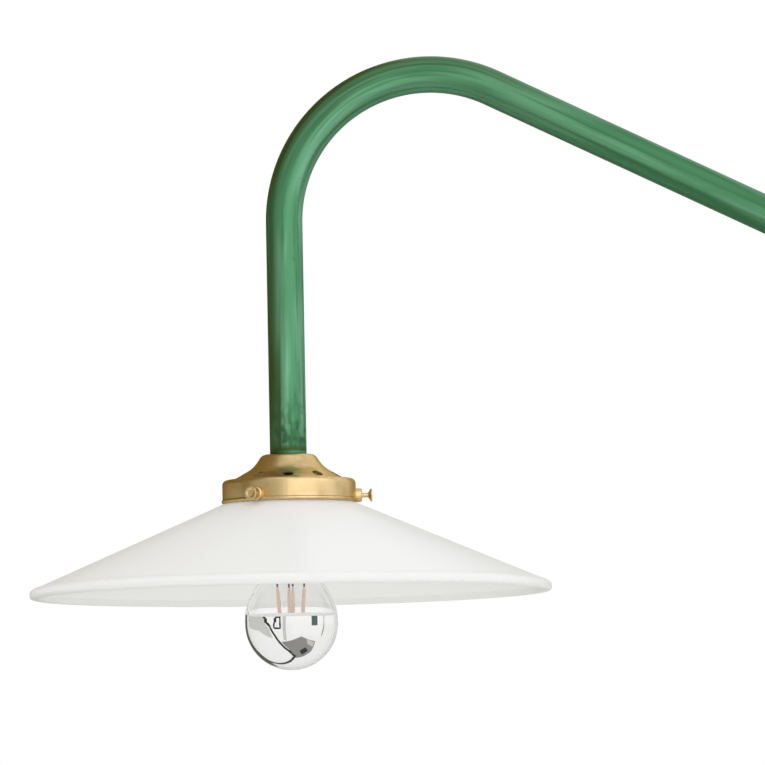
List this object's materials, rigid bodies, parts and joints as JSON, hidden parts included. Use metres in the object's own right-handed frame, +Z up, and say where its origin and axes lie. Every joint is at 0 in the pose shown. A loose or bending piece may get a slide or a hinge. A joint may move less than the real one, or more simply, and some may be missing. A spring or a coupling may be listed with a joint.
{
  "type": "gooseneck wall sconce",
  "caption": "Swing-arm gooseneck wall light: bent green tube, brass gallery with thumb screws, shallow opal glass shade and crown-silvered lamp.",
  "frame": {"origin": "middle of the wall plate's back face, in the plane of the wall", "axes": "+Y points into the wall and the light stands out along -Y, +Z is up, +X is to the side; the arm's plane is X = 0"},
  "size_m": [0.3408, 1.0004, 0.7002],
  "materials": {
    "green_lacquer": "patinated satin lacquer on steel tube",
    "brass": "satin, unlacquered",
    "steel": "zinc plated",
    "opal_glass": "mouth-blown opal glass, glossy",
    "clear_glass": "thin clear glass",
    "mirror_coat": "silvered inner face of the crown",
    "nickel": "nickel plated brass",
    "black_glass": "black vitrified insulator",
    "solder": "tinned",
    "filament": "phosphor-coated strips",
    "lead_wire": "drawn wire",
    "board": "printed board",
    "ceramic": "glazed porcelain",
    "polymer": "black slide-bearing polymer",
    "nylon": "natural nylon",
    "rubber": "moulded"
  },
  "bodies": {
    "bracket": {"wall_plate": "green_lacquer", "upper_eye": "green_lacquer", "lower_eye": "green_lacquer", "eye_screws": "steel", "upper_bush": "polymer", "lower_bush": "polymer", "thrust_washer": "brass"},
    "arm": {"arm_tube": "green_lacquer", "stop_collar": "brass", "lift_collar": "brass", "collar_grub_screws": "steel", "tube_end_grommet": "rubber", "tube_plug": "steel", "nipple": "brass", "lock_washer": "steel", "nipple_nut": "brass", "gallery": "brass", "screw_bosses": "brass", "holder_cap": "brass", "holder_grub_screw": "steel", "holder_skirt": "brass", "holder_ceramic": "ceramic", "terminal_screws": "steel", "screw_shell": "nickel", "centre_contact": "brass", "shade": "opal_glass"},
    "lamp": {"lamp_glass": "clear_glass", "lamp_mirror": "mirror_coat", "lamp_cap": "nickel", "lamp_insulator": "black_glass", "lamp_contact": "solder", "lamp_stem": "clear_glass", "lamp_filaments": "filament", "lamp_wires": "lead_wire", "lamp_driver": "board"},
    "tip_1": {"nylon_tip_1": "nylon"},
    "screw_1": {"thumb_screw_1": "brass"},
    "tip_2": {"nylon_tip_2": "nylon"},
    "screw_2": {"thumb_screw_2": "brass"},
    "tip_3": {"nylon_tip_3": "nylon"},
    "screw_3": {"thumb_screw_3": "brass"}
  },
  "joints": [
    {"name": "arm_swing", "type": "hinge", "parent": "bracket", "child": "arm", "pos_m": [0, -0.045, 0], "axis": [0, 0, 1], "range_deg": [-80, 80]},
    {"name": "lamp_draw", "type": "slide", "parent": "arm", "child": "lamp", "axis": [0, 0, -1], "range_m": [0, 0.03]},
    {"name": "screw_1_travel", "type": "slide", "parent": "arm", "child": "tip_1", "axis": [-0.0523, 0.9986, 0], "range_m": [0, 0.0035]},
    {"name": "screw_1_turn", "type": "hinge", "parent": "tip_1", "child": "screw_1", "pos_m": [0, -0.83, 0.25993], "axis": [0.0523, -0.9986, 0], "range_deg": [0, 2521]},
    {"name": "screw_2_travel", "type": "slide", "parent": "arm", "child": "tip_2", "axis": [-0.8387, -0.5446, 0], "range_m": [0, 0.0035]},
    {"name": "screw_2_turn", "type": "hinge", "parent": "tip_2", "child": "screw_2", "pos_m": [0, -0.83, 0.25993], "axis": [0.8387, 0.5446, 0], "range_deg": [0, 2521]},
    {"name": "screw_3_travel", "type": "slide", "parent": "arm", "child": "tip_3", "axis": [0.891, -0.454, 0], "range_m": [0, 0.0035]},
    {"name": "screw_3_turn", "type": "hinge", "parent": "tip_3", "child": "screw_3", "pos_m": [0, -0.83, 0.25993], "axis": [-0.891, 0.454, 0], "range_deg": [0, 2521]}
  ],
  "couplings": [
    {"joint": "screw_1_turn", "follows": "screw_1_travel", "rad_per_m": 12566},
    {"joint": "screw_2_turn", "follows": "screw_2_travel", "rad_per_m": 12566},
    {"joint": "screw_3_turn", "follows": "screw_3_travel", "rad_per_m": 12566}
  ]
}
